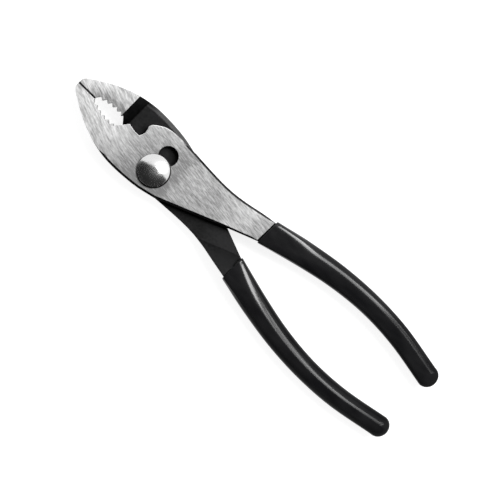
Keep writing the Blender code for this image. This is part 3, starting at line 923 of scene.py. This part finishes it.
def finished(name, bm, body, materials, sharp_angle):
    """Turn a bmesh into a piece that rides on a body; finishes meet at sharp edges."""
    bm.normal_update()
    for edge in bm.edges:
        one_finish = len({f.material_index for f in edge.link_faces}) == 1
        edge.smooth = one_finish and edge.calc_face_angle(0) < math.radians(sharp_angle)
    for face in bm.faces:
        face.smooth = True
    mesh = bpy.data.meshes.new(name)
    bm.to_mesh(mesh)
    bm.free()
    for material in materials:
        mesh.materials.append(material)
    piece = bpy.data.objects.new(name, mesh)
    bpy.context.scene.collection.objects.link(piece)
    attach(piece, body)
    triangles = sum(len(p.vertices) - 2 for p in mesh.polygons)
    print(name, "has", triangles, "triangles")
    return piece


# %% Build both levers
CAD_MERGE = 1e-6


def lever(node, name, body, is_rear, crown_drop):
    """Visible lever: a merged copy of the CAD lever with crowned, ground faces."""
    bm = bmesh.new()
    bm.from_mesh(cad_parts[node].data)
    bmesh.ops.remove_doubles(bm, verts=bm.verts, dist=CAD_MERGE)
    bm.normal_update()
    for face in bm.faces:
        face.material_index = finish_index(face, is_rear)
    if not is_rear:
        flare_handle(bm)
    highlight_crest(bm, is_rear)
    close_flats(bm, is_rear)
    round_lap(bm, is_rear)
    flat = [f for f in bm.faces if f.material_index == GROUND and abs(f.normal.z) > LEVEL]
    cut_grid(bm, flat)
    crown(bm, is_rear, crown_drop)
    ground = finish_jaw if is_rear else finish_body
    piece = finished(name, bm, body, (ground, finish_black, finish_edge), sharp_angle=30)
    weighted = piece.modifiers.new("flat_faces_stay_flat", "WEIGHTED_NORMAL")
    weighted.keep_sharp = True
    weighted.weight = FACE_WEIGHT
    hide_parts(node)


lever("front_lever", "front_lever_forging", "front_half", False, 0.07 * MM)
lever("rear_lever", "rear_lever_forging", "rear_half", True, 0.2 * MM)

# %% [markdown]
# ## Pivot bolt
# The bolt is turned, so its half section is drawn once and spun about the pivot axis. A sphere
# would make too tall a dome: the real one is round at its rim and flatter on top, which a power
# of a cosine gives. The dome is buffed. The rim under it gets the black finish, a painted
# shadow, and the dome is shifted off centre, so that this dark crescent shows mostly on one side
# of the head. Two flats let the shank through the neck of the slot.

# %% Sizes of the bolt
HEAD_RADIUS = 7.5 * MM
HEAD_UNDERSIDE = 14.1 * MM
HEAD_HEIGHT = 3.0 * MM
HEAD_CHAMFER = 0.2 * MM
RIM_HEIGHT = 0.75 * MM
RIM_CHAMFER = 0.15 * MM
DOME_RADIUS = 7.15 * MM
DOME_STEPS = 28
DOME_POWER = 2.6
DOME_SHIFT_X = 0.3 * MM
SHANK_RADIUS = 4.45 * MM
FLAT_X = 3.03 * MM
THREAD_RADIUS = 3.0 * MM
END_CHAMFER = 0.5 * MM
END_DISH_EDGE = 1.5 * MM
END_DISH_FLOOR = 1.2 * MM
END_DISH_DEPTH = 0.25 * MM
SEAT_Z = 3.8 * MM
print("dome rises", round((HEAD_HEIGHT - RIM_HEIGHT) / MM, 2), "mm above the rim")

# %% Draw the half section and spin it
LATHE_STEPS = 96
TURNED_MERGE = 1e-7
# Keeps the points that lie at a height on the right side of it.
NEAR = 0.01 * MM


def spun(profile):
    """Spin a half section of (radius, height) points about the pivot axis."""
    bm = bmesh.new()
    verts = [bm.verts.new((radius, 0, height)) for radius, height in profile]
    edges = [bm.edges.new(pair) for pair in zip(verts, verts[1:])]
    bmesh.ops.spin(bm, geom=verts + edges, cent=(0, 0, 0), axis=(0, 0, 1),
                   angle=2 * math.pi, steps=LATHE_STEPS, use_merge=True)
    bmesh.ops.remove_doubles(bm, verts=bm.verts, dist=TURNED_MERGE)
    bmesh.ops.recalc_face_normals(bm, faces=bm.faces)
    return bm


def dome_points():
    """Curve from the rim to the top of the dome: round at the rim, flatter on top."""
    rise = HEAD_HEIGHT - RIM_HEIGHT
    points = []
    for i in range(DOME_STEPS + 1):
        part = math.cos(math.pi / 2 * i / DOME_STEPS)
        height = rise * (1 - part**DOME_POWER)
        points.append((DOME_RADIUS * part, HEAD_UNDERSIDE + RIM_HEIGHT + height))
    points[-1] = (0, HEAD_UNDERSIDE + HEAD_HEIGHT)
    return points


profile = [(0, END_DISH_DEPTH), (END_DISH_FLOOR, END_DISH_DEPTH), (END_DISH_EDGE, 0)]
profile += [(THREAD_RADIUS - END_CHAMFER, 0), (THREAD_RADIUS, END_CHAMFER)]
profile += [(THREAD_RADIUS, SEAT_Z), (SHANK_RADIUS, SEAT_Z), (SHANK_RADIUS, HEAD_UNDERSIDE)]
profile += [(HEAD_RADIUS - HEAD_CHAMFER, HEAD_UNDERSIDE)]
profile += [(HEAD_RADIUS, HEAD_UNDERSIDE + HEAD_CHAMFER)]
profile += [(HEAD_RADIUS, HEAD_UNDERSIDE + RIM_HEIGHT - RIM_CHAMFER)]
profile += dome_points()
bm = spun(profile)
print("half section of the bolt has", len(profile), "points")

# %% Cut the flats, set the finishes and shift the dome
for vert in bm.verts:
    if LAP_Z < vert.co.z < HEAD_UNDERSIDE - NEAR:
        vert.co.x = max(-FLAT_X, min(FLAT_X, vert.co.x))
# The rim's black finish is painted shade beside the head.
for face in bm.faces:
    place = face.calc_center_median()
    on_dome = place.z > HEAD_UNDERSIDE + RIM_HEIGHT and place.xy.length < DOME_RADIUS
    face.material_index = 0 if on_dome else 1
# The shift bares the painted shadow of the rim mostly on the +X side.
for vert in bm.verts:
    if vert.co.z > HEAD_UNDERSIDE + RIM_HEIGHT - NEAR:
        vert.co.x -= DOME_SHIFT_X
bolt = finished("pivot_bolt_domed", bm, "pivot", (finish_buffed, finish_black),
                sharp_angle=40)
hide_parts("pivot_bolt")

# %% [markdown]
# ## Nut
# A nut is a hexagon bar whose corners are turned down by a cone. A cone and a hexagon could be
# intersected, which is slow and leaves slivers. Here a round tube is spun, and each of its outer
# points gets the smaller of two radii: the hexagon's and the cone's.

# %% Nut
NUT_HALF_FLAT = 5.0 * MM
NUT_LOW = 0.3 * MM
NUT_HIGH = 3.5 * MM
NUT_BORE = 3.05 * MM
NUT_BORE_CHAMFER = 0.35 * MM
NUT_STEP = 0.1 * MM
NUT_STEPS = 8
CONE_AT_FACE = 0.97
CONE_SLOPE = 1.9
# Half the angle of one side of the hexagon.
HALF_SIDE = math.pi / 6
# Radius of the outer points until they get their real one.
TUBE = 1.0


def nut_radius(angle, height):
    """Radius of the hexagon, cut back by the chamfer cones at both faces."""
    from_flat = (angle + HALF_SIDE) % (2 * HALF_SIDE) - HALF_SIDE
    hexagon = NUT_HALF_FLAT / math.cos(from_flat)
    to_face = min(height - NUT_LOW, NUT_HIGH - height)
    return min(hexagon, NUT_HALF_FLAT * CONE_AT_FACE + to_face * CONE_SLOPE)


profile = [(NUT_BORE, NUT_LOW + NUT_BORE_CHAMFER), (NUT_BORE + NUT_BORE_CHAMFER, NUT_LOW)]
profile += [(TUBE, NUT_LOW + i * NUT_STEP) for i in range(NUT_STEPS + 1)]
profile += [(TUBE, NUT_HIGH - i * NUT_STEP) for i in range(NUT_STEPS, -1, -1)]
profile += [(NUT_BORE + NUT_BORE_CHAMFER, NUT_HIGH), (NUT_BORE, NUT_HIGH - NUT_BORE_CHAMFER)]
profile.append(profile[0])
bm = spun(profile)
for vert in bm.verts:
    if vert.co.xy.length > TUBE / 2:
        angle = math.atan2(vert.co.y, vert.co.x) + HALF_SIDE
        radius = nut_radius(angle, vert.co.z)
        vert.co.x, vert.co.y = vert.co.x * radius, vert.co.y * radius
nut = finished("pivot_nut_hexagon", bm, "pivot", (finish_black,), sharp_angle=30)
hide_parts("pivot_nut")

# %% [markdown]
# ## Dipped grips
# A grip is liquid vinyl that set on the tang, so it follows the tang with a soft skin: nearly
# square where it starts, rounder towards the end, and closed by a round cap. A curve with a bevel
# has one section all along. A straight tube of rings is extruded instead, and one pass then bends
# every ring into its place on the handle, with a section of its own.

# %% Shape of the handle
# X, Y and half width in mm, from the mouth of the grip to the start of its cap.
STATIONS = ((54.0, 15.68, 6.28), (72.0, 20.03, 5.73), (90.0, 23.28, 5.18),
            (108.0, 24.60, 4.80), (126.0, 23.63, 4.73), (147.3, 19.85, 4.70))
MOUTH_X = STATIONS[0][0]
CAP_X, CAP_RADIUS = STATIONS[-1][0], STATIONS[-1][2]


def along_handle(x, column):
    """Smooth value of a station column at x, in millimetres."""
    last = len(STATIONS) - 1
    i = 0
    while i < last - 1 and x > STATIONS[i + 1][0]:
        i += 1
    start, end = STATIONS[i], STATIONS[i + 1]
    before, after = STATIONS[max(i - 1, 0)], STATIONS[min(i + 2, last)]
    span = end[0] - start[0]
    t = (x - start[0]) / span
    leave = (end[column] - before[column]) / (end[0] - before[0]) * span
    arrive = (after[column] - start[column]) / (after[0] - start[0]) * span
    h00 = 2 * t**3 - 3 * t**2 + 1
    h10 = t**3 - 2 * t**2 + t
    return (h00 * start[column] + h10 * leave + (1 - h00) * end[column]
            + (t**3 - t**2) * arrive)


print("middle of the handle at X 100 mm:", round(along_handle(100.0, 1), 2), "mm")

# %% Rings of the grip
# Position and growth in mm of the rings that roll the lip at the mouth inwards.
LIP = ((55.2, -1.4), (53.75, -1.25), (53.7, -0.9), (53.7, -0.5), (53.76, -0.25), (53.95, -0.08),
       (54.5, 0.0))
BODY_RINGS = 60
CAP_RINGS = 12
CAP_POINT = 0.02


def ring_list():
    """Position, growth and squeeze of each ring, from the mouth to the cap, in millimetres."""
    rings = [(x, grow, 1.0) for x, grow in LIP]
    lip_x = LIP[-1][0]
    for i in range(1, BODY_RINGS + 1):
        rings.append((lip_x + (CAP_X - lip_x) * i / BODY_RINGS, 0.0, 1.0))
    for i in range(1, CAP_RINGS):
        angle = math.pi / 2 * i / CAP_RINGS
        rings.append((CAP_X + CAP_RADIUS * math.sin(angle), 0.0, math.cos(angle)))
    rings.append((CAP_X + CAP_RADIUS, 0.0, CAP_POINT))
    return rings


print("rings in a grip:", len(ring_list()))

# %% Section of the grip
# A section is a superellipse: the higher its power, the squarer it is. Sizes are in mm.
SWELL_SHARE, SWELL_RUN = 0.5, 14
MOUTH_HEIGHT, END_HEIGHT, HEIGHT_RUN = 5.7, 5.1, 24
TOP_POWERS, TOP_START_X, TOP_RUN = (7.6, 3.1), 50.0, 26
UNDER_POWER, UNDER_EXTRA, UNDER_RUN = 2.05, 4.0, 6.5


def section_point(ring, across, up, swell):
    """Place of one point of a ring on the handle; across and up lie on a unit circle."""
    x, grow, squeeze = ring
    at = min(x, CAP_X)
    swelling = swell * eased(SWELL_SHARE, 1, (x - MOUTH_X) / SWELL_RUN)
    half_width = (along_handle(at, 2) + grow + swelling) * squeeze
    half_height = (eased(MOUTH_HEIGHT, END_HEIGHT, (x - MOUTH_X) / HEIGHT_RUN) + grow) * squeeze
    top = eased(*TOP_POWERS, (x - TOP_START_X) / TOP_RUN)
    under = UNDER_POWER + UNDER_EXTRA * math.exp(min((MOUTH_X - x) / UNDER_RUN, 0))
    power = 2 / (top if up > 0 else under)
    y = along_handle(at, 1) + half_width * math.copysign(abs(across) ** power, across)
    z = half_height * math.copysign(abs(up) ** power, up)
    return Vector((x * MM, y * MM, z * MM + LAP_Z))


# %% Extrude and bend both grips
SECTION_POINTS = 64
FRONT_SWELL = 0.34
REAR_SWELL = 0.28


def straight_tube(ring_count):
    """Closed tube along X with one ring of points at each whole number."""
    bm = bmesh.new()
    circle = bmesh.ops.create_circle(bm, cap_ends=False, segments=SECTION_POINTS, radius=1.0)
    bmesh.ops.rotate(bm, verts=circle["verts"], cent=(0, 0, 0),
                     matrix=Matrix.Rotation(math.pi / 2, 3, "Y"))
    edges = list(bm.edges)
    bmesh.ops.contextual_create(bm, geom=edges)
    for _ in range(ring_count - 1):
        grown = bmesh.ops.extrude_edge_only(bm, edges=edges)["geom"]
        moved = [v for v in grown if isinstance(v, bmesh.types.BMVert)]
        edges = [e for e in grown if isinstance(e, bmesh.types.BMEdge)
                 and e.verts[0] in moved and e.verts[1] in moved]
        bmesh.ops.translate(bm, vec=(1, 0, 0), verts=moved)
    bmesh.ops.contextual_create(bm, geom=edges)
    return bm


def grip(name, body, node, is_rear):
    """Bend a straight tube of rings onto the handle."""
    rings = ring_list()
    swell = REAR_SWELL if is_rear else FRONT_SWELL
    bm = straight_tube(len(rings))
    for vert in bm.verts:
        vert.co = section_point(rings[round(vert.co.x)], vert.co.y, vert.co.z, swell)
        if is_rear:
            vert.co = Vector((vert.co.x, 2 * MID_Y - vert.co.y, 2 * LAP_Z - vert.co.z))
    bmesh.ops.recalc_face_normals(bm, faces=bm.faces)
    piece = finished(name, bm, body, (finish_vinyl,), sharp_angle=50)
    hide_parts(node)


grip("front_grip_dipped", "front_half", "front_grip", False)
grip("rear_grip_dipped", "rear_half", "rear_grip", True)
